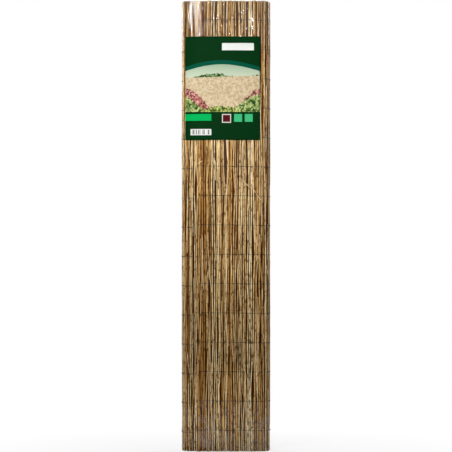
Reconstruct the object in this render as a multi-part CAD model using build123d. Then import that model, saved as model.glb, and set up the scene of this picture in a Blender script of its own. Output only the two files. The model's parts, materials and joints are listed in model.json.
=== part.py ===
from build123d import *

import os
from collections import namedtuple
from math import acos, ceil, cos, degrees, pi, radians, sin

# Bamboo cane screen, rolled up as it is sold. Thin canes lie side by side, and rows of wire tie them into
# one long mat. The mat is wound into a flattened roll. A cap of film, shrunk round each end, holds the roll
# closed, and a card lies on its front.
# Millimetres. +Z runs up the canes, the front looks along -Y, and the origin is the centre of the underside.

# The mat
screen_height = 1500.0  # length of a cane
screen_length = 5000.0  # length of the mat when it is unrolled
cane_diameter = 6.0
cane_spacing = 6.5  # from cane to cane along the mat
ridge_depth = 2.8  # how far the canes of the outer turn stand out of the mat
ridge_facets = 5  # flat strips that make up the round of such a cane

# The roll
roll_width = 300.0  # from side to side, over the film
turn_gap = 1.2  # air between one turn and the next
core_depth = 28.0  # across the slack in the middle of the roll
corner_radius = 30.0  # inside the outer turn, and a turn's thickness less on each turn inside it
fold_radius = 1.0  # inside the tightest bend that the canes allow
face_bow = 5.0  # degrees that the front turns between its middle and a corner
side_bow = 12.0  # degrees that a side turns between its middle and a corner
edge_offset = 96.0  # along the mat, from its outer edge to the middle of the front

# The rows of tie wire
wire_thickness = 1.2
wire_spacing = 97.5  # from row to row, at most
wire_margin = 67.5  # from the end rows to the ends of the canes
wire_drop = 10.0  # fall of a row on its way round the outer turn
wire_end_gap = 6.0  # bare stretch at each end of a row
wire_sag = 0.8  # rise of the canes under a straight run of wire

# The film and the card
film_thickness = 0.4
film_reach = 185.0  # how far a cap of film reaches along the canes
film_hem = 32.0  # how far it turns in over their ends
card_width = 248.0  # as seen from the front
card_height = 344.0
card_thickness = 0.4
card_shift = -11.5  # from the middle of the roll to the middle of the card
card_drop = 120.0  # from the top of the canes to the top of the card
seat_gap = 0.1  # clearance between pieces that lie on each other
close_enough = 0.0001  # at which a search along the mat stops

# Each layer lies on the one inside it. The offsets start at the middle line of the mat.
cane_crest = cane_diameter / 2
cane_groove = cane_crest - ridge_depth
plain_face = pi / 4 * cane_diameter**2 / cane_spacing - cane_crest  # leaves the canes' mean thickness
wire_line = cane_crest + seat_gap + wire_sag + wire_thickness / 2
film_inside = wire_line + wire_thickness / 2 + seat_gap
film_outside = film_inside + film_thickness
card_inside = film_outside + seat_gap
card_outside = card_inside + card_thickness

# Heights
canes_bottom = film_thickness + seat_gap
canes_top = canes_bottom + screen_height
film_top = canes_top + seat_gap + film_thickness

Bend = namedtuple("Bend", "centre radius heading turn")
Corner = namedtuple("Corner", "point heading travel")


def outward(heading):
    return Vector(sin(heading), -cos(heading))


def spot(bend, share, offset):
    """The point a share of the way round a bend, at an offset from the middle line."""
    return bend.centre + outward(bend.heading + share * bend.turn) * (bend.radius + offset)


def length_of(bends):
    return sum(bend.radius * bend.turn for bend in bends)


def stretch(bends, start, end):
    """The part of a chain of bends between two lengths along it."""
    kept = []
    for bend in bends:
        span = bend.radius * bend.turn
        low = max(start, 0) / bend.radius
        high = min(end, span) / bend.radius
        if high > low:
            kept.append(Bend(bend.centre, bend.radius, bend.heading + low, high - low))
        start -= span
        end -= span
    return kept


def spot_along(bends, length, offset):
    for bend in bends:
        span = bend.radius * bend.turn
        if length <= span:
            break
        length -= span
    return spot(bend, length / span, offset)


def quarter_arcs(half_width, half_depth, corner):
    """Radii and turns of the arcs from the middle of a face, round a corner, to the middle of a side."""
    face_end = radians(face_bow)
    side_start = pi / 2 - radians(side_bow)
    # The face and the side share what the corner leaves of the width and of the depth.
    width = half_width - corner * (sin(side_start) - sin(face_end))
    depth = half_depth - corner * (cos(face_end) - cos(side_start))
    face_width, side_width = sin(face_end), 1 - sin(side_start)
    face_depth, side_depth = 1 - cos(face_end), cos(side_start)
    scale = face_width * side_depth - side_width * face_depth
    face = (width * side_depth - depth * side_width) / scale
    side = (depth * face_width - width * face_depth) / scale
    return [(face, face_end), (corner, side_start - face_end), (side, pi / 2 - side_start)]


def wind_quarters(count):
    """Quarter turns of the middle line. The first leads from the left side to the middle of the front."""
    step_in = (cane_diameter + turn_gap) / 4
    outer_half_width = roll_width / 2 - film_outside + 2 * step_in
    outer_half_depth = core_depth / 2 + count * step_in
    heading = -pi / 2
    place = Vector(-outer_half_width - step_in, 0)
    quarters = []
    for quarter in range(-1, count):
        starts_at_face = quarter % 2 == 0
        side_quarter = quarter + 1 if starts_at_face else quarter
        face_quarter = quarter if starts_at_face else quarter + 1
        arcs = quarter_arcs(
            outer_half_width - side_quarter * step_in,
            outer_half_depth - face_quarter * step_in,
            cane_crest + max(corner_radius - quarter * step_in, fold_radius),
        )
        bends = []
        for radius, turn in arcs if starts_at_face else reversed(arcs):
            bends.append(Bend(place - outward(heading) * radius, radius, heading, turn))
            heading += turn
            place = spot(bends[-1], 1, 0)
        quarters.append(bends)
    return quarters


def wind_mat():
    """Bends of the whole mat from its outer edge inwards, and the length of its outer turn."""
    count = 4
    # The roll gains quarter turns until it holds the mat, so its depth follows from the mat's length.
    while True:
        quarters = wind_quarters(count)
        start = length_of(quarters[0]) - edge_offset
        bends = sum(quarters, [])
        if length_of(bends) >= start + screen_length:
            return stretch(bends, start, start + screen_length), length_of(sum(quarters[1:5], []))
        count += 1


mat, turn_length = wind_mat()
outer_turn = stretch(mat, 0, turn_length)


def arcs_along(bends, offset):
    return [CenterArc(b.centre, b.radius + offset, degrees(b.heading) - 90, degrees(b.turn)) for b in bends]


def cane_roll():
    """The wound mat. Its outer turn shows the canes, and the turns inside it are plain."""
    cane_count = round(turn_length / cane_spacing)
    cane_pitch = turn_length / cane_count
    ridge_points = []
    for cane in range(cane_count):
        start = spot_along(mat, cane * cane_pitch, cane_groove)
        crest = spot_along(mat, (cane + 0.5) * cane_pitch, cane_crest)
        end = spot_along(mat, (cane + 1) * cane_pitch, cane_groove)
        ridge = ThreePointArc(start, crest, end)
        ridge_points += [ridge @ (facet / ridge_facets) for facet in range(ridge_facets)]
    ridges = Polyline(*ridge_points, end)
    plain = arcs_along(stretch(mat, turn_length, screen_length), plain_face)
    inside = arcs_along(mat, -cane_crest)
    outer_edge = Line(inside[0] @ 0, ridges @ 0)
    step = Line(ridges @ 1, plain[0] @ 0)
    inner_edge = Line(inside[-1] @ 1, plain[-1] @ 1)
    section = make_face([outer_edge, *ridges.edges(), step, *plain, inner_edge, *inside])
    return Pos(0, 0, canes_bottom) * extrude(section, screen_height)


def straight_runs(bends, offset):
    """Corners of the straight runs that go round the bends, each with its heading and its way along them."""
    corners = []
    travel = 0
    for bend in bends:
        widest = 2 * acos(1 - wire_sag / (bend.radius + offset))
        runs = ceil(bend.turn / widest)
        for run in range(runs):
            turned = bend.turn * run / runs
            point = spot(bend, run / runs, offset)
            corners.append(Corner(point, bend.heading + turned, travel + bend.radius * turned))
        travel += bend.radius * bend.turn
    last = bends[-1]
    corners.append(Corner(spot(last, 1, offset), last.heading + last.turn, travel))
    return corners


def tie_wire():
    """One row of wire round the outer turn. It starts at the outer edge and falls on its way."""
    tied = stretch(mat, wire_end_gap, turn_length - wire_end_gap)
    sections = []
    for corner in straight_runs(tied, wire_line):
        height = wire_drop * (0.5 - corner.travel / length_of(tied))
        along = Vector(cos(corner.heading), sin(corner.heading))
        plane = Plane(corner.point + Vector(0, 0, height), x_dir=outward(corner.heading), z_dir=along)
        sections.append(plane * Rectangle(wire_thickness, wire_thickness))
    return loft(sections, ruled=True)


def tie_wires():
    """Rows of wire, evenly spaced between the margins, from the bottom up."""
    tied_height = screen_height - 2 * wire_margin
    gaps = ceil(tied_height / wire_spacing)
    row = tie_wire()
    rows = {}
    for number in range(gaps + 1):
        height = canes_bottom + wire_margin + tied_height * number / gaps
        rows[f"tie_wire_{number + 1:02d}"] = Pos(0, 0, height) * row
    return rows


def wrap_section(offset):
    """What a sheet pulled tight round the roll encloses. It bridges the step at the mat's outer edge."""
    edge = spot_along(outer_turn, 0, offset)
    # Halving finds where the sheet leaves the canes, on the tangent that runs to the outer edge.
    low, high = turn_length / 2, turn_length
    while high - low > close_enough:
        middle = (low + high) / 2
        last = stretch(outer_turn, 0, middle)[-1]
        bridge = edge - spot(last, 1, offset)
        if outward(last.heading + last.turn).dot(bridge) < 0:
            low = middle
        else:
            high = middle
    sheet = arcs_along(stretch(outer_turn, 0, low), offset)
    return make_face([*sheet, Line(sheet[-1] @ 1, sheet[0] @ 0)])


wrap_bounds = wrap_section(film_outside).bounding_box()
wrap_centre = wrap_bounds.center()


def film_cap():
    """The cap at the bottom. It turns in under the canes and leaves a mouth in the middle."""
    mouth = Rectangle(wrap_bounds.size.X - 2 * film_hem, wrap_bounds.size.Y - 2 * film_hem)
    mouth = chamfer(mouth.vertices(), film_hem)
    cap = extrude(wrap_section(film_outside), film_reach)
    cap -= Pos(0, 0, film_thickness) * extrude(wrap_section(film_inside), film_reach)
    return cap - Pos(wrap_centre) * extrude(mouth, film_reach)


def label_card():
    """A card bent round the front. Its upper part lies on the film."""
    sheet = wrap_section(card_outside) - wrap_section(card_inside)
    middle = wrap_centre + Vector(card_shift, -wrap_bounds.size.Y / 2)
    front = Pos(middle) * Rectangle(card_width, wrap_bounds.size.Y)
    return Pos(0, 0, canes_top - card_drop - card_height) * extrude(sheet & front, card_height)


bottom_cap = film_cap()
parts = {
    "cane_roll": cane_roll(),
    "film_cap_bottom": bottom_cap,
    "film_cap_top": Pos(0, 0, film_top) * mirror(bottom_cap, Plane.XY),
    "label_card": label_card(),
    **tie_wires(),
}
bounds = Compound(list(parts.values())).bounding_box()
to_origin = Pos(-bounds.center().X, -bounds.center().Y, -bounds.min.Z)

os.makedirs("parts", exist_ok=True)
for name, piece in parts.items():
    export_step(to_origin * piece, f"parts/{name}.step")
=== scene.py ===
import json
import math
import random
from collections import namedtuple

import bpy
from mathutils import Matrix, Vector, noise

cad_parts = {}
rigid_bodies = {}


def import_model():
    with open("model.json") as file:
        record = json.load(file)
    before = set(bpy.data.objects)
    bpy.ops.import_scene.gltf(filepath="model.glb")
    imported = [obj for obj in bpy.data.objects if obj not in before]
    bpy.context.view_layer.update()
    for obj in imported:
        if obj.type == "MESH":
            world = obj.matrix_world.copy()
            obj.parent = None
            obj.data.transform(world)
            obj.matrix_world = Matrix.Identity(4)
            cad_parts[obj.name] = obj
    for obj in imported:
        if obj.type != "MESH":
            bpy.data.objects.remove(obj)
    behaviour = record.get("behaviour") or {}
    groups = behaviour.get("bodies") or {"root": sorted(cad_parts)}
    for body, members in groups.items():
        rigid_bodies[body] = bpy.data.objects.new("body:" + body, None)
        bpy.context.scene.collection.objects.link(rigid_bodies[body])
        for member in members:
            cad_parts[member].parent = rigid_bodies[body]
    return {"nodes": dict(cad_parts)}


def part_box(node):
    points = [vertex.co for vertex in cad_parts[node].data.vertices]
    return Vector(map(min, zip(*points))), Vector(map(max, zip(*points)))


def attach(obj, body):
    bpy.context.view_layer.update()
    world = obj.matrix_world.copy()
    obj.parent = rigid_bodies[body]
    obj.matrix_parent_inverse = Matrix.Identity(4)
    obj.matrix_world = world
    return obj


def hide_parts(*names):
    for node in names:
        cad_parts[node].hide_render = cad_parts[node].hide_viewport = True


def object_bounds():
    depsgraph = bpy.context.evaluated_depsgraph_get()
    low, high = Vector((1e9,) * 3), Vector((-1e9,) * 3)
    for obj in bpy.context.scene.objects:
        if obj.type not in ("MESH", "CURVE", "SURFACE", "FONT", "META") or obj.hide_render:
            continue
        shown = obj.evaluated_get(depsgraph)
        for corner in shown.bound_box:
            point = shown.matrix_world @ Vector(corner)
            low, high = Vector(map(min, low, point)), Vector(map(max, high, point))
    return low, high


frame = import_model()
cadLow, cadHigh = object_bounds()
print("frame loaded, box", [round(v, 4) for v in (*cadLow, *cadHigh)])

mm = 0.001
up = Vector((0, 0, 1))


# small helpers

def tint(code):  # from a hex code to Blender's linear colour
    channels = [int(code[i:i + 2], 16) / 255 for i in (1, 3, 5)]
    linear = [c / 12.92 if c <= 0.04045 else ((c + 0.055) / 1.055) ** 2.4 for c in channels]
    return (*linear, 1.0)


def linkObject(name, data):
    obj = bpy.data.objects.new(name, data)
    bpy.context.scene.collection.objects.link(obj)
    return obj


def meshFrom(name, points, faces=(), edges=()):
    mesh = bpy.data.meshes.new(name)
    mesh.from_pydata([tuple(p) for p in points], [tuple(e) for e in edges], [tuple(f) for f in faces])
    mesh.update()
    return mesh


def storeFloats(mesh, name, values):
    mesh.attributes.new(name, "FLOAT", "POINT").data.foreach_set("value", values)


def storeVectors(mesh, name, vectors):
    flat = [c for v in vectors for c in v]
    mesh.attributes.new(name, "FLOAT_VECTOR", "POINT").data.foreach_set("vector", flat)


def smoothFaces(mesh):
    mesh.polygons.foreach_set("use_smooth", [True] * len(mesh.polygons))


def plainMesh(obj):  # what the modifiers made becomes the object's own mesh
    graph = bpy.context.evaluated_depsgraph_get()
    finished = obj.evaluated_get(graph)
    mesh = bpy.data.meshes.new_from_object(finished, preserve_all_data_layers=True, depsgraph=graph)
    obj.modifiers.clear()
    obj.data = mesh


def place(obj, slot, *nodes):
    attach(obj, "root")
    if nodes:
        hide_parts(*nodes)


# the winding of the mat, the same as the solid roll's

winding = {
    "length": 5.0,
    "pitch": 7.2 * mm,        # from turn to turn
    "halfCane": 3.0 * mm,
    "filmOffset": 5.6 * mm,   # from the middle of the mat to the outside of the film
    "core": 28.0 * mm,
    "corner": 30.0 * mm,
    "fold": 1.0 * mm,
    "faceBow": math.radians(5),
    "sideBow": math.radians(12),
    "edgeOffset": 96.0 * mm,  # from the outer edge of the mat to the middle of the front
    "step": 1.0 * mm,         # between the points of the path
}


def quarterArcs(halfWidth, halfDepth, corner):
    faceEnd = winding["faceBow"]
    sideStart = math.pi / 2 - winding["sideBow"]
    # the face and the side share what the corner leaves of the width and of the depth
    width = halfWidth - corner * (math.sin(sideStart) - math.sin(faceEnd))
    depth = halfDepth - corner * (math.cos(faceEnd) - math.cos(sideStart))
    faceWidth, sideWidth = math.sin(faceEnd), 1 - math.sin(sideStart)
    faceDepth, sideDepth = 1 - math.cos(faceEnd), math.cos(sideStart)
    scale = faceWidth * sideDepth - sideWidth * faceDepth
    face = (width * sideDepth - depth * sideWidth) / scale
    side = (depth * faceWidth - width * faceDepth) / scale
    return [(face, faceEnd), (corner, sideStart - faceEnd), (side, math.pi / 2 - sideStart)]


def windBends(rollWidth, count):
    stepIn = winding["pitch"] / 4
    halfWidth = rollWidth / 2 - winding["filmOffset"] + 2 * stepIn
    halfDepth = winding["core"] / 2 + count * stepIn
    bends = []
    for quarter in range(-1, count):
        fromFace = quarter % 2 == 0
        across = halfWidth - (quarter + 1 if fromFace else quarter) * stepIn
        deep = halfDepth - (quarter if fromFace else quarter + 1) * stepIn
        corner = winding["halfCane"] + max(winding["corner"] - quarter * stepIn, winding["fold"])
        arcs = quarterArcs(across, deep, corner)
        bends.append(arcs if fromFace else arcs[::-1])
    return Vector((-halfWidth - stepIn, 0, 0)), bends


def windPath():
    filmLow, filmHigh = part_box("film_cap_bottom")
    count = 4
    # the roll gains quarter turns until it holds the whole mat
    while True:
        spot, quarters = windBends(filmHigh.x - filmLow.x, count)
        lengths = [sum(radius * turn for radius, turn in arcs) for arcs in quarters]
        skip = lengths[0] - winding["edgeOffset"]
        if sum(lengths) - skip >= winding["length"]:
            break
        count += 1
    places = []
    travel = -skip
    heading = -math.pi / 2
    for radius, turn in (arc for arcs in quarters for arc in arcs):
        steps = max(1, round(radius * turn / winding["step"]))
        for _ in range(steps):
            if 0 <= travel <= winding["length"]:
                places.append((spot.copy(), heading))
            chord = 2 * radius * math.sin(turn / steps / 2)
            middle = heading + turn / steps / 2
            spot = spot + Vector((math.cos(middle), math.sin(middle), 0)) * chord
            heading += turn / steps
            travel += radius * turn / steps
    return places, sum(lengths[1:5])


matPlaces, turnLength = windPath()
turnCount = round(turnLength / winding["step"])
# a row of wire follows the outer turn at one distance, so their boxes share a middle
wireLow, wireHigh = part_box("tie_wire_08")
pathLow = Vector([min(p[0][i] for p in matPlaces[:turnCount]) for i in range(3)])
pathHigh = Vector([max(p[0][i] for p in matPlaces[:turnCount]) for i in range(3)])
toFrame = (wireLow + wireHigh - pathLow - pathHigh) / 2
toFrame.z = 0
matPlaces = [(spot + toFrame, heading) for spot, heading in matPlaces]
outerPlaces, innerPlaces = matPlaces[:turnCount], matPlaces[turnCount:]
caneLow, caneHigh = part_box("cane_roll")
caneLength = caneHigh.z - caneLow.z
print("mat wound:", len(matPlaces), "places,", turnCount, "on the outer turn")


def outward(heading):
    return Vector((math.sin(heading), -math.cos(heading), 0))


def pathMesh(name, places, heights):
    points = [Vector((spot.x, spot.y, z)) for (spot, _), z in zip(places, heights)]
    mesh = meshFrom(name, points, edges=[(i, i + 1) for i in range(len(points) - 1)])
    storeVectors(mesh, "outward", [outward(heading) for _, heading in places])
    return mesh


def tightOutline(offset):
    # a sheet pulled tight round the roll bridges the step at the outer edge of the mat
    spots = [spot + outward(heading) * offset for spot, heading in outerPlaces]
    points = sorted({(round(p.x, 6), round(p.y, 6)) for p in spots})

    def turnsLeft(a, b, c):
        return (b[0] - a[0]) * (c[1] - a[1]) - (b[1] - a[1]) * (c[0] - a[0]) > 0

    def half(chain):
        hull = []
        for p in chain:
            while len(hull) > 1 and not turnsLeft(hull[-2], hull[-1], p):
                hull.pop()
            hull.append(p)
        return hull[:-1]

    return [Vector((x, y, 0)) for x, y in half(points) + half(points[::-1])]


def evenly(points, count, closed):
    chain = points + points[:1] if closed else points
    lengths = [0.0]
    for a, b in zip(chain, chain[1:]):
        lengths.append(lengths[-1] + (b - a).length)
    result = []
    i = 0
    for k in range(count):
        target = lengths[-1] * k / (count if closed else count - 1)
        while i < len(chain) - 2 and lengths[i + 1] < target:
            i += 1
        share = (target - lengths[i]) / max(lengths[i + 1] - lengths[i], 1e-9)
        result.append(chain[i].lerp(chain[i + 1], min(share, 1.0)))
    return result


def frontOf(outline, x):
    near = sorted((q for q in outline if q.y < 0), key=lambda q: abs(q.x - x))[:2]
    share = (x - near[0].x) / (near[1].x - near[0].x)
    return near[0].lerp(near[1], share)


def gridFaces(columns, rows, closed):
    faces = []
    for row in range(rows - 1):
        for column in range(columns if closed else columns - 1):
            a = row * columns + column
            b = row * columns + (column + 1) % columns
            faces.append((a, b, b + columns, a + columns))
    return faces


# node trees

class Nodes:
    def add(self, kind, inputs=None, **settings):
        node = self.tree.nodes.new(kind)
        for key, value in settings.items():
            setattr(node, key, value)
        for key, value in (inputs or {}).items():
            self.feed(node.inputs[key], value)
        return node

    def feed(self, socket, value):
        if isinstance(value, bpy.types.NodeSocket):
            self.tree.links.new(value, socket)
        else:
            socket.default_value = value

    def math(self, operation, a, b=0.0):
        return self.add("ShaderNodeMath", {0: a, 1: b}, operation=operation).outputs[0]

    def vector(self, operation, a, b=(0, 0, 0)):
        return self.add("ShaderNodeVectorMath", {0: a, 1: b}, operation=operation).outputs[0]

    def scaled(self, vector, factor):
        return self.add("ShaderNodeVectorMath", {0: vector, "Scale": factor}, operation="SCALE").outputs[0]

    def joined(self, x=0.0, y=0.0, z=0.0):
        return self.add("ShaderNodeCombineXYZ", {"X": x, "Y": y, "Z": z}).outputs[0]


class Tree(Nodes):
    def __init__(self, name, inputs):
        self.tree = bpy.data.node_groups.new(name, "GeometryNodeTree")
        self.tree.interface.new_socket("Geometry", in_out="INPUT", socket_type="NodeSocketGeometry")
        self.tree.interface.new_socket("Geometry", in_out="OUTPUT", socket_type="NodeSocketGeometry")
        self.ids = {}
        for label, kind in inputs.items():
            socket = self.tree.interface.new_socket(label, in_out="INPUT", socket_type="NodeSocket" + kind)
            self.ids[label] = socket.identifier
        self.given = self.tree.nodes.new("NodeGroupInput").outputs
        self.result = self.tree.nodes.new("NodeGroupOutput").inputs

    def randomFloat(self, low, high, seed):
        node = self.add("FunctionNodeRandomValue", data_type="FLOAT")
        for label, value in (("Min", low), ("Max", high), ("Seed", seed)):
            self.feed(next(s for s in node.inputs if s.name == label and s.enabled), value)
        return next(s for s in node.outputs if s.enabled)

    def stored(self, name, kind="FLOAT"):
        node = self.add("GeometryNodeInputNamedAttribute", {"Name": name}, data_type=kind)
        return next(s for s in node.outputs if s.enabled and s.name == "Attribute")

    def store(self, geometry, name, value, kind="FLOAT"):
        node = self.add("GeometryNodeStoreNamedAttribute", {"Geometry": geometry, "Name": name},
                        data_type=kind, domain="POINT")
        self.feed(next(s for s in node.inputs if s.name == "Value" and s.enabled), value)
        return node.outputs[0]

    def finish(self, geometry):
        realized = self.add("GeometryNodeRealizeInstances", {"Geometry": geometry}).outputs[0]
        painted = self.add("GeometryNodeSetMaterial", {
            "Geometry": realized, "Material": self.given["Material"],
        })
        self.tree.links.new(painted.outputs[0], self.result[0])


def grow(name, mesh, tree, values):
    obj = linkObject(name, mesh)
    modifier = obj.modifiers.new("grow", "NODES")
    modifier.node_group = tree.tree
    for label, value in values.items():
        modifier[tree.ids[label]] = value
    plainMesh(obj)
    print(name, "has", len(obj.data.polygons), "faces")
    return obj


def caneRowTree():
    t = Tree("caneRow", {
        "Spacing": "Float", "Thin": "Float", "Thick": "Float", "Crest": "Float", "Sink": "Float",
        "Jitter": "Float", "Lift": "Float", "Short": "Float", "Long": "Float", "Tilt": "Float",
        "Sway": "Float", "Swell": "Float", "Pace": "Float", "Kinds": "Float", "Seed": "Int",
        "Masters": "Collection", "Material": "Material",
    })
    given = t.given
    phaseSpan = 400.0  # the canes read their noise at places in this span
    secondWave = 57.0  # from the noise of the sway to that of the swell
    rarity = 3.0       # the higher it is, the fewer canes lie deep

    def chance(low, high, number):
        return t.randomFloat(low, high, t.math("ADD", given["Seed"], float(number)))

    def eitherWay(amount, number):
        return chance(t.math("SUBTRACT", 0.0, amount), amount, number)

    def height():
        spot = t.add("GeometryNodeInputPosition").outputs[0]
        return t.add("ShaderNodeSeparateXYZ", {0: spot}).outputs["Z"]

    curve = t.add("GeometryNodeMeshToCurve", {"Mesh": given["Geometry"]}).outputs[0]
    row = t.add("GeometryNodeCurveToPoints", {"Curve": curve, "Length": given["Spacing"]}, mode="LENGTH")
    along = row.outputs["Tangent"]
    points = t.store(row.outputs["Points"], "along", along, "FLOAT_VECTOR")
    points = t.store(points, "out", t.vector("CROSS_PRODUCT", along, tuple(up)), "FLOAT_VECTOR")
    points = t.store(points, "caneRadius", chance(given["Thin"], given["Thick"], 1))
    points = t.store(points, "tone", chance(0.0, 1.0, 2))
    points = t.store(points, "phase", chance(0.0, phaseSpan, 3))
    points = t.store(points, "tilt", eitherWay(given["Tilt"], 9))
    radius = t.stored("caneRadius")
    # thin canes touch the same outer surface as thick ones, and a few canes lie deeper
    sink = t.math("MULTIPLY", t.math("POWER", chance(0.0, 1.0, 10), rarity), given["Sink"])
    out = t.math("SUBTRACT", t.math("SUBTRACT", given["Crest"], radius), sink)
    sunk = t.scaled(t.stored("out", "FLOAT_VECTOR"), out)
    aside = t.scaled(t.stored("along", "FLOAT_VECTOR"), eitherWay(given["Jitter"], 4))
    offset = t.vector("ADD", t.vector("ADD", sunk, aside), t.joined(z=chance(0.0, given["Lift"], 5)))
    points = t.add("GeometryNodeSetPosition", {"Geometry": points, "Offset": offset}).outputs[0]
    points = t.store(points, "foot", height())
    masters = t.add("GeometryNodeCollectionInfo", {
        "Collection": given["Masters"], "Separate Children": True, "Reset Children": True,
    }).outputs[0]
    belowKinds = t.math("SUBTRACT", given["Kinds"], 0.001)  # rounds down to the last kind at most
    grown = t.add("GeometryNodeInstanceOnPoints", {
        "Points": points, "Instance": masters, "Pick Instance": True,
        "Instance Index": t.math("FLOOR", chance(0.0, belowKinds, 8)),
        "Rotation": t.joined(z=chance(0.0, 2 * math.pi, 6)),
        "Scale": t.joined(radius, radius, chance(given["Short"], given["Long"], 7)),
    }).outputs[0]
    grown = t.add("GeometryNodeRealizeInstances", {"Geometry": grown}).outputs[0]
    # how far a spot on the skin faces out of the mat, which the skins use to paint shade into the grooves
    skin = t.add("GeometryNodeInputNormal").outputs[0]
    outside = t.stored("out", "FLOAT_VECTOR")
    facing = t.add("ShaderNodeVectorMath", {0: skin, 1: outside}, operation="DOT_PRODUCT")
    grown = t.store(grown, "crest", facing.outputs["Value"])
    # each cane leans and wanders its own way between the rows of wire
    lean = t.math("MULTIPLY", t.stored("tilt"), t.math("SUBTRACT", height(), t.stored("foot")))
    move = t.scaled(t.stored("along", "FLOAT_VECTOR"), lean)
    for field, amount, shift in (("along", "Sway", 0.0), ("out", "Swell", secondWave)):
        phase = t.math("ADD", t.stored("phase"), shift)
        where = t.joined(phase, t.math("MULTIPLY", height(), given["Pace"]))
        wave = t.add("ShaderNodeTexNoise", {
            "Vector": where, "Scale": 1.0, "Detail": 2.0,
        }, noise_dimensions="2D").outputs["Fac"]
        centred = t.math("MULTIPLY", t.math("SUBTRACT", wave, 0.5), given[amount])
        move = t.vector("ADD", move, t.scaled(t.stored(field, "FLOAT_VECTOR"), centred))
    grown = t.add("GeometryNodeSetPosition", {"Geometry": grown, "Offset": move}).outputs[0]
    t.finish(grown)
    return t


def twinedWireTree():
    t = Tree("twinedWire", {
        "Spacing": "Float", "Middle": "Float", "Swing": "Float", "Rise": "Float", "Wire Radius": "Float",
        "Sides": "Int", "Material": "Material",
    })
    given = t.given
    curve = t.add("GeometryNodeMeshToCurve", {"Mesh": given["Geometry"]}).outputs[0]
    travel = t.add("GeometryNodeSplineParameter").outputs["Length"]
    # half a twist between one cane and the next, so that the strands change places
    twist = t.math("MULTIPLY", t.math("DIVIDE", travel, given["Spacing"]), math.pi)
    ring = t.add("GeometryNodeCurvePrimitiveCircle", {
        "Resolution": given["Sides"], "Radius": given["Wire Radius"],
    }).outputs[0]
    join = t.add("GeometryNodeJoinGeometry")
    for turn in (0.0, math.pi):
        angle = t.math("ADD", twist, turn - math.pi / 2)
        swing = t.math("ADD", given["Middle"], t.math("MULTIPLY", t.math("COSINE", angle), given["Swing"]))
        rise = t.math("MULTIPLY", t.math("SINE", angle), given["Rise"])
        offset = t.vector("ADD", t.scaled(t.stored("outward", "FLOAT_VECTOR"), swing), t.joined(z=rise))
        strand = t.add("GeometryNodeSetPosition", {"Geometry": curve, "Offset": offset}).outputs[0]
        tube = t.add("GeometryNodeCurveToMesh", {"Curve": strand, "Profile Curve": ring, "Fill Caps": True})
        t.tree.links.new(tube.outputs[0], join.inputs[0])
    t.finish(t.add("GeometryNodeSetShadeSmooth", {"Geometry": join.outputs[0]}).outputs[0])
    return t


caneRow = caneRowTree()
twinedWire = twinedWireTree()
print("node trees built")


# materials

class Paint(Nodes):
    def __init__(self, name):
        self.material = bpy.data.materials.new(name)
        self.material.use_nodes = True
        self.tree = self.material.node_tree
        self.shader = self.tree.nodes["Principled BSDF"]

    def set(self, **values):
        for key, value in values.items():
            self.feed(self.shader.inputs[key.replace("_", " ")], value)

    def attribute(self, name):
        return self.add("ShaderNodeAttribute", attribute_name=name).outputs["Fac"]

    def objectSpot(self):
        return self.add("ShaderNodeTexCoord").outputs["Object"]

    def stretched(self, vector, x, y, z):
        return self.add("ShaderNodeMapping", {"Vector": vector, "Scale": (x, y, z)}).outputs[0]

    def noise(self, vector, detail=3.0, rough=0.5):
        return self.add("ShaderNodeTexNoise", {
            "Vector": vector, "Scale": 1.0, "Detail": detail, "Roughness": rough,
        }).outputs["Fac"]

    def range(self, value, low, high, toLow, toHigh):
        return self.add("ShaderNodeMapRange", {
            "Value": value, "From Min": low, "From Max": high, "To Min": toLow, "To Max": toHigh,
        }).outputs[0]

    def ramp(self, value, stops):
        node = self.add("ShaderNodeValToRGB", {"Fac": value})
        elements = node.color_ramp.elements
        while len(elements) < len(stops):
            elements.new(0.5)
        for element, (position, code) in zip(elements, stops):
            element.position = position
            element.color = tint(code)
        return node.outputs["Color"]

    def mix(self, amount, under, over, blend="MIX"):
        node = self.add("ShaderNodeMix", data_type="RGBA", blend_type=blend)
        self.feed(node.inputs["Factor"], amount)
        self.feed(node.inputs[6], under)  # 6 and 7 are the two colours of the node, and output 2 their mix
        self.feed(node.inputs[7], tint(over) if isinstance(over, str) else over)
        return node.outputs[2]

    def bump(self, height, strength, distance):
        node = self.add("ShaderNodeBump", {"Height": height, "Strength": strength, "Distance": distance})
        self.feed(self.shader.inputs["Normal"], node.outputs[0])


skins = {
    "blotchPace": 26.0,           # blotches in a metre of cane
    "blotch": "#B48A54",
    "grain": (1400, 1400, 18),    # streaks in a metre across, through and along the canes
    "streak": "#B08A56",
    "stainPace": 45.0,
    "stain": "#542800",
    "knuckle": "#663C08",
    "paintedGrooveShade": "#4A1E00",            # painted shade in the grooves between canes
    "cut": "#C9AE7C",
    "gloss": 0.08,
    "outer": [                    # a cane's tone is drawn from its list
        (0.0, "#8C5E28"), (0.16, "#C2914E"), (0.34, "#E8C286"), (0.6, "#F9DEA6"), (0.8, "#FDE7B8"),
        (0.9, "#DDB97C"), (1.0, "#B9874A"),
    ],
    # the inner turns' tones are painted darker, as shade in the gaps between the outer canes
    "innerShaded": [(0.0, "#4A2804"), (0.5, "#683C08"), (1.0, "#80500E")],
    "tip": [(0.0, "#C99A56"), (0.3, "#EDCB90"), (0.6, "#F8DCA6"), (1.0, "#FBE3B4")],
}


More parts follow.
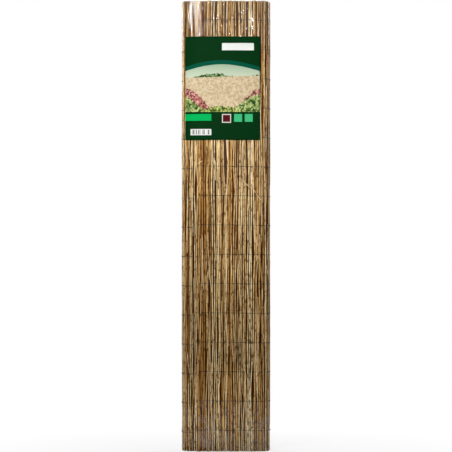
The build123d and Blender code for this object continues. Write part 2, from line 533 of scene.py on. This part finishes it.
def caneMaterial(name, stops, grooveShadeStrength):
    p = Paint(name)
    spot = p.objectSpot()
    high = p.add("ShaderNodeSeparateXYZ", {0: spot}).outputs["Z"]
    phase = p.attribute("phase")
    skin = p.ramp(p.attribute("tone"), stops)
    # blotches and stains are read at the cane's own phase, so that no two canes look the same
    blotchSpot = p.joined(phase, p.math("MULTIPLY", high, skins["blotchPace"]))
    blotches = p.range(p.noise(blotchSpot, detail=4.0, rough=0.6), 0.48, 0.68, 0.0, 0.8)
    skin = p.mix(blotches, skin, p.mix(1.0, skin, skins["blotch"], "MULTIPLY"))
    grain = p.noise(p.stretched(spot, *skins["grain"]))
    streaks = p.range(grain, 0.5, 0.75, 0.0, 0.4)
    skin = p.mix(streaks, skin, p.mix(1.0, skin, skins["streak"], "MULTIPLY"))
    stainSpot = p.joined(p.math("MULTIPLY", phase, 3.0), p.math("MULTIPLY", high, skins["stainPace"]))
    skin = p.mix(p.range(p.noise(stainSpot), 0.56, 0.66, 0.0, 0.7), skin, skins["stain"])
    skin = p.mix(p.math("MULTIPLY", p.attribute("knuckle"), 0.75), skin, skins["knuckle"])
    # shade painted into the grooves, darkest where the skin faces away from the outside
    skin = p.mix(p.range(p.attribute("crest"), 0.1, 0.75, grooveShadeStrength, 0.0), skin, skins["paintedGrooveShade"])
    skin = p.mix(p.attribute("cut"), skin, skins["cut"])
    p.set(Base_Color=skin, Specular_IOR_Level=skins["gloss"])
    p.set(Roughness=p.range(grain, 0.2, 0.8, 0.34, 0.56))
    p.bump(grain, 0.35, 0.4 * mm)
    return p.material


def wireMaterial():
    p = Paint("annealedWire")
    rust = p.noise(p.stretched(p.objectSpot(), 300, 300, 300), detail=4.0)
    p.set(Base_Color=p.ramp(rust, [(0.35, "#150C05"), (0.7, "#3A2210")]), Metallic=0.3)
    p.set(Roughness=p.range(rust, 0.3, 0.7, 0.5, 0.75))
    p.bump(rust, 0.3, 0.2 * mm)
    return p.material


# the last number is how strong the shade painted into the grooves is
outerSkin = caneMaterial("outerCaneSkin", skins["outer"], 1.0)
# the inner turns' skin carries painted shade in its darker tones
innerShadedSkin = caneMaterial("innerCaneShadedSkin", skins["innerShaded"], 0.9)
tipSkin = caneMaterial("caneTipSkin", skins["tip"], 0.92)
wireFinish = wireMaterial()
print("cane and wire materials made")


# canes

canes = {
    "spacing": 6.5 * mm,
    "thin": 1.8 * mm,             # radii
    "thick": 2.8 * mm,
    "crest": 3.0 * mm,            # how far the outer surface lies outside the middle of the mat
    "sink": 4.5 * mm,
    "jitter": 0.8 * mm,
    "lift": 0.6 * mm,
    "short": 0.998,               # shares of the full length
    "long": 0.9995,
    "tilt": 0.002,
    "sway": 16.0 * mm,
    "swell": 6.0 * mm,
    "pace": 7.5,                  # waves in a metre
    "sides": 8,
    "taper": 0.16,                # share of the radius, from end to end
    "endMargin": 0.03,            # no knuckle is nearer to an end
    "firstKnuckle": 0.16,         # and the lowest one is no higher
    "knuckleGap": (0.13, 0.27),
    "knuckleSwell": (1.08, 1.2),
    "shoulder": 6 * mm,           # plain cane ends this far below a knuckle
    "neckHeight": 5 * mm,         # and is at its thinnest this far above it
    "neck": 0.96,
    "neckStain": 0.3,
    "kink": 0.35,                 # canes bend at their knuckles, in radii
    "bore": 0.6,                  # share of the radius
    "boreDepth": 12 * mm,
    "masterCount": 8,
    "seed": 29,
}
innerTurns = {  # what differs on the turns inside the outer one
    "tilt": 0.0,
    "sway": 0.0,
    "swell": 0.0,
    "sides": 7,
    "taper": 0.12,                # share of the radius, from the middle to an end
    "bore": (0.5, 0.68),
    "seed": canes["seed"] + 20,
}
tips = {  # split ends that lie on the outer turn
    "spacing": 2.1 * mm,
    "thin": 1.0 * mm,
    "thick": 2.2 * mm,
    "crest": 3.7 * mm,
    "sink": 2.0 * mm,
    "jitter": 5.0 * mm,
    "lift": 1.13,                 # height of the highest one's foot
    "short": 0.06,                # lengths
    "long": 0.36,
    "tilt": 0.03,
    "sway": 4.0 * mm,
    "swell": 0.4 * mm,
    "sides": 5,
    "kink": 0.3,
    "profile": [(0.0, 0.5), (0.03, 0.75), (0.3, 1.0), (0.6, 0.95), (0.985, 0.85), (1.0, 0.65)],
    "seed": 71,
}
Ring = namedtuple("Ring", "z radius knuckle cut dx dy", defaults=(0.0, 0.0, 0.0, 0.0))


def caneMesh(name, rings, sides):
    points, knuckle, cut = [], [], []
    for ring in rings:
        for side in range(sides):
            angle = 2 * math.pi * side / sides
            x = ring.radius * math.cos(angle) + ring.dx
            y = ring.radius * math.sin(angle) + ring.dy
            points.append((x, y, ring.z))
            knuckle.append(ring.knuckle)
            cut.append(ring.cut)
    faces = gridFaces(sides, len(rings), True)
    faces.append(tuple(reversed(range(sides))))
    faces.append(tuple(range(len(points) - sides, len(points))))
    mesh = meshFrom(name, points, faces)
    storeFloats(mesh, "knuckle", knuckle)
    storeFloats(mesh, "cut", cut)
    smoothFaces(mesh)
    return mesh


def hollowEnds(rings, bore):
    low, high = rings[0], rings[-1]
    floor, ceiling = canes["boreDepth"], caneLength - canes["boreDepth"]
    bottom = [Ring(z, low.radius * bore, 0.0, 1.0, low.dx, low.dy) for z in (floor, 0.0)]
    top = [Ring(z, high.radius * bore, 0.0, 1.0, high.dx, high.dy) for z in (caneLength, ceiling)]
    return bottom + rings + top


def fullCaneRings(chance):
    taper = chance.uniform(-canes["taper"], canes["taper"])
    knucklesEnd = caneLength - canes["endMargin"]
    dx = dy = 0.0

    def radiusAt(height):
        return 1.0 + taper * (height / caneLength - 0.5)

    rings = [Ring(0.0, radiusAt(0), dx=dx, dy=dy)]
    z = chance.uniform(canes["endMargin"], canes["firstKnuckle"])
    while z < knucklesEnd:
        radius = radiusAt(z)
        swollen = radius * chance.uniform(*canes["knuckleSwell"])
        neck = radius * canes["neck"]
        rings.append(Ring(z - canes["shoulder"], radius, dx=dx, dy=dy))
        rings.append(Ring(z, swollen, 1.0, dx=dx, dy=dy))
        rings.append(Ring(z + canes["neckHeight"], neck, canes["neckStain"], dx=dx, dy=dy))
        gap = chance.uniform(*canes["knuckleGap"])
        lastX, lastY = dx, dy
        dx += chance.uniform(-canes["kink"], canes["kink"])
        dy += chance.uniform(-canes["kink"], canes["kink"])
        if z + gap < knucklesEnd:
            rings.append(Ring(z + gap / 2, radius, dx=(dx + lastX) / 2, dy=(dy + lastY) / 2))
        z += gap
    rings.append(Ring(caneLength, radiusAt(caneLength), dx=dx, dy=dy))
    middleX = sum(ring.dx for ring in rings) / len(rings)
    middleY = sum(ring.dy for ring in rings) / len(rings)
    centred = [ring._replace(dx=ring.dx - middleX, dy=ring.dy - middleY) for ring in rings]
    return hollowEnds(centred, canes["bore"])


def plainCaneRings(chance):
    taper = chance.uniform(-innerTurns["taper"], innerTurns["taper"])
    rings = [Ring(0.0, 1 - taper), Ring(caneLength, 1 + taper)]
    return hollowEnds(rings, chance.uniform(*innerTurns["bore"]))


def tipRings(chance):
    rings = []
    for share, radius in tips["profile"]:
        dx = chance.uniform(-tips["kink"], tips["kink"])
        dy = chance.uniform(-tips["kink"], tips["kink"])
        rings.append(Ring(share, radius, dx=dx, dy=dy))
    return rings


def masterSet(name, ringMaker, sides, seed):
    chance = random.Random(seed)
    group = bpy.data.collections.new(name)
    for number in range(canes["masterCount"]):
        mesh = caneMesh(name, ringMaker(chance), sides)
        group.objects.link(bpy.data.objects.new(f"{name}{number}", mesh))
    return group


outerMasters = masterSet("fullCane", fullCaneRings, canes["sides"], canes["seed"])
innerMasters = masterSet("plainCane", plainCaneRings, innerTurns["sides"], canes["seed"] + 1)
tipMasters = masterSet("caneTip", tipRings, tips["sides"], canes["seed"] + 2)
rowInputs = ["spacing", "thin", "thick", "crest", "sink", "jitter", "lift", "short", "long", "tilt",
             "sway", "swell", "pace", "seed"]


def growCanes(name, places, settings, masters, material):
    values = {label.title(): settings[label] for label in rowInputs}
    values |= {"Kinds": float(canes["masterCount"]), "Masters": masters, "Material": material}
    return grow(name, pathMesh(name + "Path", places, [caneLow.z] * len(places)), caneRow, values)


outerCanes = growCanes("outerCanes", outerPlaces, canes, outerMasters, outerSkin)
place(outerCanes, "cane", "cane_roll")
innerCanes = growCanes("innerCanes", innerPlaces, {**canes, **innerTurns}, innerMasters, innerShadedSkin)
place(innerCanes, "cane")
caneTips = growCanes("caneTips", outerPlaces, {**canes, **tips}, tipMasters, tipSkin)
place(caneTips, "cane")

strays = {  # loose splinters on the front
    "offset": 5.15 * mm,
    "radius": 1.4 * mm,
    "sides": 4,
    "flat": 0.5,            # thickness as a share of the width
    "bow": 0.04,            # share of the length
    "profile": [(0.0, 0.2), (0.15, 1.0), (0.5, 0.9), (0.85, 0.7), (1.0, 0.15)],
    "tone": 0.9,
    "phase": 7.0,
    "ends": [  # x and height of both ends
        (0.053, 0.905, 0.096, 0.868), (0.092, 0.873, 0.120, 0.834), (0.102, 0.484, 0.136, 0.480),
        (0.122, 0.362, 0.134, 0.384), (-0.094, 0.958, -0.078, 0.968), (0.079, 1.478, 0.116, 1.250),
        (0.012, 1.432, 0.030, 1.352), (-0.033, 0.355, -0.018, 0.230), (-0.047, 0.302, -0.039, 0.170),
        (-0.128, 0.330, -0.118, 0.255), (0.060, 0.312, 0.070, 0.240), (-0.053, 0.650, -0.044, 0.515),
        (0.130, 0.655, 0.140, 0.590), (0.046, 0.640, 0.039, 0.560), (0.000, 0.425, 0.011, 0.352),
    ],
}


def strayMesh():
    outline = tightOutline(strays["offset"] - strays["radius"])
    sides = strays["sides"]
    points, faces = [], []
    for x0, z0, x1, z1 in strays["ends"]:
        a, b = frontOf(outline, x0), frontOf(outline, x1)
        a.z, b.z = z0, z1
        ahead = (b - a).normalized()
        side = ahead.cross(Vector((0, -1, 0))).normalized()
        flat = ahead.cross(side) * strays["flat"]
        first = len(points)
        for share, size in strays["profile"]:
            bowed = a.lerp(b, share) + side * math.sin(share * math.pi) * (b - a).length * strays["bow"]
            for turn in range(sides):
                angle = 2 * math.pi * turn / sides
                around = side * math.cos(angle) + flat * math.sin(angle)
                points.append(bowed + around * size * strays["radius"])
        for face in gridFaces(sides, len(strays["profile"]), True):
            faces.append([first + corner for corner in face])
        faces.append(range(first + sides - 1, first - 1, -1))
        faces.append(range(len(points) - sides, len(points)))
    mesh = meshFrom("strayBits", points, faces)
    storeFloats(mesh, "tone", [strays["tone"]] * len(points))
    # a crest of 1 keeps the splinters free of painted groove shade
    storeFloats(mesh, "crest", [1.0] * len(points))
    storeFloats(mesh, "phase", [strays["phase"]] * len(points))
    smoothFaces(mesh)
    return mesh


strayBits = linkObject("strayBits", strayMesh())
strayBits.data.materials.append(tipSkin)
place(strayBits, "cane")
print("stray bits laid on the front")


# tie wires

wires = {
    "radius": 0.8 * mm,
    "middle": 0.4 * mm,     # outside the middle of the mat
    "swing": 3.6 * mm,      # in and out between the canes
    "rise": 0.8 * mm,       # up and down
    "sides": 5,
    "bare": 6,              # path places without wire at each end of a row
    "step": 2,              # path places from point to point
}
rowPlaces = outerPlaces[wires["bare"]:-wires["bare"]:wires["step"]]
for name in sorted(n for n in frame["nodes"] if n.startswith("tie_wire_")):
    low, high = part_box(name)
    fall = high.z - low.z - 2 * wires["radius"]
    heights = [high.z - wires["radius"] - fall * i / (len(rowPlaces) - 1) for i in range(len(rowPlaces))]
    row = grow("twined" + name[-2:], pathMesh("wirePath", rowPlaces, heights), twinedWire, {
        "Spacing": canes["spacing"], "Middle": wires["middle"], "Swing": wires["swing"],
        "Rise": wires["rise"], "Wire Radius": wires["radius"], "Sides": wires["sides"],
        "Material": wireFinish,
    })
    place(row, "wire", name)


# card

card = {
    "offset": 5.75 * mm,
    "columns": 60,
    "rows": 72,
    "ripple": 0.12 * mm,
    "ripplesAcross": 90,    # in a metre
    "ripplesUp": 9,
    "seed": 3.0,
    "thickness": 0.3 * mm,
    "ground": "#002B0C",
    "teal": "#004A36",
    # places and sizes on the card are shares of its width and height
    "archFoot": 0.665,
    "archRise": 0.065,
    "archRim": 0.04,
    "pictureFoot": 0.27,
    "farTrees": (0.645, 0.02, 0.4, 0.35),     # top, height, middle and width of a hill
    "sandTop": 0.6,
    "sandRise": 0.02,
    "redHill": (0.5, 0.13, 0.02, 0.5),
    "leafHill": (0.44, 0.1, 1.0, 0.55),
    "grassHill": (0.33, 0.03, 0.5, 0.45),
    "ragged": 0.03,
    "fields": [                               # left, right, bottom, top and colour
        (0.0, 0.36, 0.185, 0.25, "#00A551"),
        (0.50, 0.62, 0.165, 0.25, "#C9C6BC"),
        (0.512, 0.608, 0.174, 0.241, "#4E0F16"),
        (0.66, 0.765, 0.175, 0.25, "#3CAE74"),
        (0.80, 0.905, 0.175, 0.25, "#3CAE74"),
        (0.08, 0.36, 0.045, 0.105, "#D9DAD5"),
        (0.50, 0.92, 0.865, 0.935, "#DADDD8"),
    ],
    "bars": (0.10, 0.34, 0.053, 0.097),
}


def cardMaterial():
    p = Paint("printedCard")
    uv = p.add("ShaderNodeUVMap", uv_map="card").outputs[0]
    parts = p.add("ShaderNodeSeparateXYZ", {0: uv})
    u, v = parts.outputs["X"], parts.outputs["Y"]
    grain = p.noise(p.stretched(uv, 40, 56, 1), detail=4.0)
    leaf = p.add("ShaderNodeTexVoronoi", {"Vector": p.stretched(uv, 44, 60, 1), "Scale": 1.0}).outputs

    def both(a, b):
        return p.math("MULTIPLY", a, b)

    def field(u0, u1, v0, v1):
        across = both(p.math("GREATER_THAN", u, u0), p.math("LESS_THAN", u, u1))
        return both(across, both(p.math("GREATER_THAN", v, v0), p.math("LESS_THAN", v, v1)))

    def hill(top, height, middle, width):
        slope = p.math("COSINE", both(p.math("SUBTRACT", u, middle), math.pi / width))
        ragged = both(p.math("SUBTRACT", leaf["Distance"], 0.4), card["ragged"])
        line = p.math("ADD", top - height, both(slope, height))
        return p.math("LESS_THAN", p.math("ADD", v, ragged), line)

    # a landscape with an arched top runs across the whole card: sky, far trees, sand and three hills
    arch = p.math("ADD", card["archFoot"], both(p.math("SINE", both(u, math.pi)), card["archRise"]))
    above = p.math("SUBTRACT", v, arch)
    sandLine = p.math("ADD", card["sandTop"], both(u, card["sandRise"]))
    picture = p.mix(p.range(v, 0.62, 0.74, 0.0, 1.0), tint("#B9C4AC"), "#8FA68C")
    for shape, dark, middle, pale in (
        (hill(*card["farTrees"]), "#22381B", "#3F5A32", "#7E9A6A"),
        (p.math("LESS_THAN", v, sandLine), "#B39D7A", "#C2AE8E", "#CBBB9C"),
        (hill(*card["redHill"]), "#5A332B", "#A6605A", "#CFA093"),
        (hill(*card["leafHill"]), "#2C4421", "#6B8645", "#B4BE7C"),
        (hill(*card["grassHill"]), "#33481C", "#7F9142", "#C5C67E"),
    ):
        leaves = p.ramp(leaf["Color"], [(0.25, dark), (0.5, middle), (0.75, pale)])
        picture = p.mix(shape, picture, leaves)
    ink = p.mix(p.math("LESS_THAN", above, card["archRim"]), tint(card["ground"]), card["teal"])
    ink = p.mix(p.math("LESS_THAN", above, 0.0), ink, picture)
    ink = p.mix(p.math("LESS_THAN", v, card["pictureFoot"]), ink, card["ground"])
    for *edges, colour in card["fields"]:
        ink = p.mix(field(*edges), ink, colour)
    stripes = p.math("GREATER_THAN", p.noise(p.stretched(uv, 70, 0, 0), detail=0.0), 0.52)
    ink = p.mix(both(stripes, field(*card["bars"])), ink, "#4A4D4A")
    p.set(Base_Color=ink, Roughness=p.range(grain, 0.3, 0.7, 0.55, 0.65), Specular_IOR_Level=0.03)
    return p.material


def cardMesh():
    low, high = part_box("label_card")
    outline = tightOutline(card["offset"])
    middle = sorted((q for q in outline if q.y < 0 and low.x < q.x < high.x), key=lambda q: q.x)
    columns = evenly([frontOf(outline, low.x), *middle, frontOf(outline, high.x)], card["columns"], False)
    points, uvs = [], []
    for row in range(card["rows"]):
        z = low.z + (high.z - low.z) * row / (card["rows"] - 1)
        for number, spot in enumerate(columns):
            where = Vector((spot.x * card["ripplesAcross"], z * card["ripplesUp"], card["seed"]))
            wave = noise.noise(where) * card["ripple"]
            ahead = columns[min(number + 1, len(columns) - 1)] - columns[max(number - 1, 0)]
            points.append(Vector((spot.x, spot.y, z)) + outward(math.atan2(ahead.y, ahead.x)) * wave)
            uvs.append((number / (card["columns"] - 1), row / (card["rows"] - 1)))
    mesh = meshFrom("labelCard", points, gridFaces(card["columns"], card["rows"], False))
    layer = mesh.uv_layers.new(name="card")
    for loop in mesh.loops:
        layer.data[loop.index].uv = uvs[loop.vertex_index]
    smoothFaces(mesh)
    return mesh


def thicken(obj, thickness):
    modifier = obj.modifiers.new("thickness", "SOLIDIFY")
    modifier.thickness = thickness
    modifier.offset = 1.0
    plainMesh(obj)


labelCard = linkObject("labelCard", cardMesh())
thicken(labelCard, card["thickness"])
labelCard.data.materials.append(cardMaterial())
place(labelCard, "card", "label_card")
print("card made")


# film

film = {
    "offset": 5.05 * mm,
    "inset": 0.2 * mm,      # from the end of the solid cap
    "columns": 340,
    "wallRows": 46,
    "hemRows": 10,
    "hem": 34 * mm,
    "turnRadius": 3 * mm,
    "thickness": 0.05 * mm,
    "edgeWave": 14 * mm,
    "edgePace": 14,         # a pace is in waves to a metre, across the roll
    "crease": 0.3 * mm,
    "softPace": 26,
    "softRise": 20,         # a rise is the same up the roll
    "sharpPace": 40,
    "sharpRise": 30,
    "sharpLean": 22,        # slants the sharp creases
    "gather": 0.25,         # share of the hem
    "gatherPace": 60,
    "gatherShift": 9,       # from the noise of the wall to that of the hem
    "ruffle": 1.2 * mm,
    "caps": [               # name, node, seed, colour, alpha where it is clear and where it is hazy
        ("filmFoot", "film_cap_bottom", 5.0, "#E2D8C6", 0.0, 0.08),
        ("filmHead", "film_cap_top", 31.0, "#7A756C", 0.02, 0.05),
    ],
}


def filmMaterial(name, colour, clear, hazy):
    p = Paint(name)
    spot = p.objectSpot()
    haze = p.noise(p.stretched(spot, 22, 22, 34), detail=5.0, rough=0.6)
    crinkle = p.noise(p.stretched(spot, 60, 60, 45), detail=3.0, rough=0.6)
    line = p.math("ABSOLUTE", p.math("SUBTRACT", p.noise(p.stretched(spot, 38, 38, 26), detail=2.0), 0.5))
    # hazy patches and thin pale lines, which fade out towards the free edge
    veil = p.math("ADD", p.range(haze, 0.4, 0.7, clear, hazy), p.range(line, 0.0, 0.012, 0.16, 0.0))
    veil = p.math("MULTIPLY", veil, p.range(p.attribute("reach"), 0.0, 0.45, 0.1, 1.0))
    p.set(Base_Color=tint(colour), Roughness=0.06, Specular_IOR_Level=1.0, Alpha=veil)
    p.set(Coat_Weight=1.0, Coat_Roughness=0.03, Coat_IOR=1.6)
    p.bump(crinkle, 0.42, 4 * mm)
    return p.material


def noiseRound(spot, pace, height):
    return noise.noise(Vector((spot.x * pace, spot.y * pace, height)))


def filmMesh(name, node, seed):
    low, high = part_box(node)
    atTop = low.z > caneLength / 2
    sign = -1 if atTop else 1
    end = high.z - film["inset"] if atTop else low.z + film["inset"]
    free = low.z if atTop else high.z
    outline = evenly(tightOutline(film["offset"]), film["columns"], True)
    middle = sum(outline, Vector()) / len(outline)
    points, reach = [], []
    for row in range(film["wallRows"]):
        share = row / (film["wallRows"] - 1)
        for number, spot in enumerate(outline):
            ahead = outline[(number + 1) % len(outline)] - outline[number - 1]
            out = outward(math.atan2(ahead.y, ahead.x))
            ragged = 0.5 + noiseRound(spot, film["edgePace"], seed)
            start = free - sign * film["edgeWave"] * max(ragged, 0.0)
            z = start + (end + sign * film["turnRadius"] - start) * share
            soft = noiseRound(spot, film["softPace"], z * film["softRise"] + seed)
            slanted = spot + Vector((z * film["sharpLean"] / film["sharpPace"], 0, 0))
            sharp = 0.5 - abs(noiseRound(slanted, film["sharpPace"], z * film["sharpRise"] + seed))
            points.append(Vector((spot.x, spot.y, z)) + out * (soft + sharp) * film["crease"])
            reach.append(share)
    for row in range(1, film["hemRows"] + 1):
        share = row / film["hemRows"]
        for spot in outline:
            inward = (middle - spot).normalized()
            gather = noiseRound(spot, film["gatherPace"], seed + film["gatherShift"])
            travel = film["hem"] * share * (1 + film["gather"] * gather * share)
            ruffle = abs(gather) * film["ruffle"] * share
            z = end + sign * (max(film["turnRadius"] - travel, 0.0) + ruffle)
            points.append(Vector((spot.x, spot.y, z)) + inward * travel)
            reach.append(1.0)
    faces = gridFaces(film["columns"], film["wallRows"] + film["hemRows"], True)
    if not atTop:
        faces = [f[::-1] for f in faces]
    mesh = meshFrom(name, points, faces)
    storeFloats(mesh, "reach", reach)
    smoothFaces(mesh)
    return mesh


for name, node, seed, colour, clear, hazy in film["caps"]:
    sheet = linkObject(name, filmMesh(name, node, seed))
    thicken(sheet, film["thickness"])
    sheet.data.materials.append(filmMaterial(name + "Clear", colour, clear, hazy))
    place(sheet, "film", node)
print("film made")


# studio

studio = {
    "floorSize": 40.0,
    "shadowNear": 0.15,     # the floor turns white between these distances from the middle
    "shadowFar": 0.9,
    "shadowWhite": 0.78,    # share of white under the roll
    "cameraDistance": 9.0,
    "cameraReach": 100.0,
    "ambient": 0.13,
    "lamps": [  # name, place, height of its aim, width, height, power, spread in degrees
        ("key", Vector((-0.6, -1.85, 1.75)), 1.02, 0.4, 0.4, 4.5, 65),
        ("fill", Vector((1.3, -1.8, 1.5)), 1.15, 0.6, 0.6, 0.8, 65),
        ("glintLeft", Vector((-0.45, -2.5, 1.64)), 1.4, 0.12, 0.1, 0.6, 60),
        ("glintSide", Vector((-1.5, -1.5, 1.61)), 1.45, 0.16, 0.09, 0.2, 30),
        ("glintRight", Vector((0.41, -2.5, 1.62)), 1.4, 0.08, 0.08, 0.4, 60),
        ("low", Vector((-0.25, -1.2, 0.25)), 0.03, 0.4, 0.1, 0.11, 24),
        ("top", Vector((0.0, 0.2, 3.4)), 1.5, 0.6, 0.6, 1.6, 60),
        ("backLeft", Vector((-1.6, 2.0, 1.9)), 0.8, 0.9, 0.9, 16.0, 120),
        ("backRight", Vector((1.8, 1.6, 1.7)), 0.8, 0.9, 0.9, 14.0, 120),
    ],
}


def seenRays(p):
    paths = p.add("ShaderNodeLightPath").outputs
    glossy = p.math("MAXIMUM", paths["Is Glossy Ray"], paths["Is Transmission Ray"])
    return p.math("MAXIMUM", paths["Is Camera Ray"], glossy)


def buildFloor():
    half = studio["floorSize"] / 2
    corners = [(-half, -half, 0), (half, -half, 0), (half, half, 0), (-half, half, 0)]
    floor = linkObject("floor", meshFrom("floor", corners, [(0, 1, 2, 3)]))
    p = Paint("paleFloor")
    p.set(Base_Color=(0.8, 0.8, 0.8, 1), Roughness=0.9, Specular_IOR_Level=0.1)
    # white where the camera sees it, and more of its own shade near the roll, which keeps the shadow
    away = p.add("ShaderNodeVectorMath", {0: p.objectSpot()}, operation="LENGTH").outputs["Value"]
    white = p.range(away, studio["shadowNear"], studio["shadowFar"], studio["shadowWhite"], 1.0)
    share = p.math("MULTIPLY", seenRays(p), white)
    glow = p.add("ShaderNodeEmission", {"Color": (1, 1, 1, 1), "Strength": 1.0}).outputs[0]
    blend = p.add("ShaderNodeMixShader", {0: share, 1: p.shader.outputs[0], 2: glow})
    p.tree.links.new(blend.outputs[0], p.tree.nodes["Material Output"].inputs[0])
    floor.data.materials.append(p.material)


def buildWorld():
    world = bpy.data.worlds.new("studio")
    bpy.context.scene.world = world
    world.use_nodes = True
    sky = Nodes()
    sky.tree = world.node_tree
    background = sky.tree.nodes["Background"]
    background.inputs["Color"].default_value = (1, 1, 1, 1)
    level = sky.add("ShaderNodeMapRange", {
        "Value": seenRays(sky), "To Min": studio["ambient"], "To Max": 1.0,
    })
    sky.feed(background.inputs["Strength"], level.outputs[0])


def buildLamps():
    for name, spot, aim, width, height, power, spread in studio["lamps"]:
        lamp = bpy.data.lights.new(name, "AREA")
        lamp.shape = "RECTANGLE"
        lamp.size = width
        lamp.size_y = height
        lamp.energy = power
        lamp.spread = math.radians(spread)
        obj = linkObject(name, lamp)
        obj.location = spot
        obj.rotation_euler = (Vector((0, 0, aim)) - spot).to_track_quat("-Z", "Y").to_euler()


def buildCamera():
    # the roll fills the square picture from top to bottom
    camera = bpy.data.cameras.new("camera")
    rig = linkObject("camera", camera)
    height = cadHigh.z - cadLow.z
    rig.location = (0, cadLow.y - studio["cameraDistance"], height / 2)
    rig.rotation_euler = (math.pi / 2, 0, 0)
    camera.angle = 2 * math.atan(height / 2 / studio["cameraDistance"])
    camera.clip_end = studio["cameraReach"]
    bpy.context.scene.camera = rig


buildFloor()
buildWorld()
buildLamps()
buildCamera()
bpy.context.scene.view_settings.view_transform = "Standard"
print("studio built")
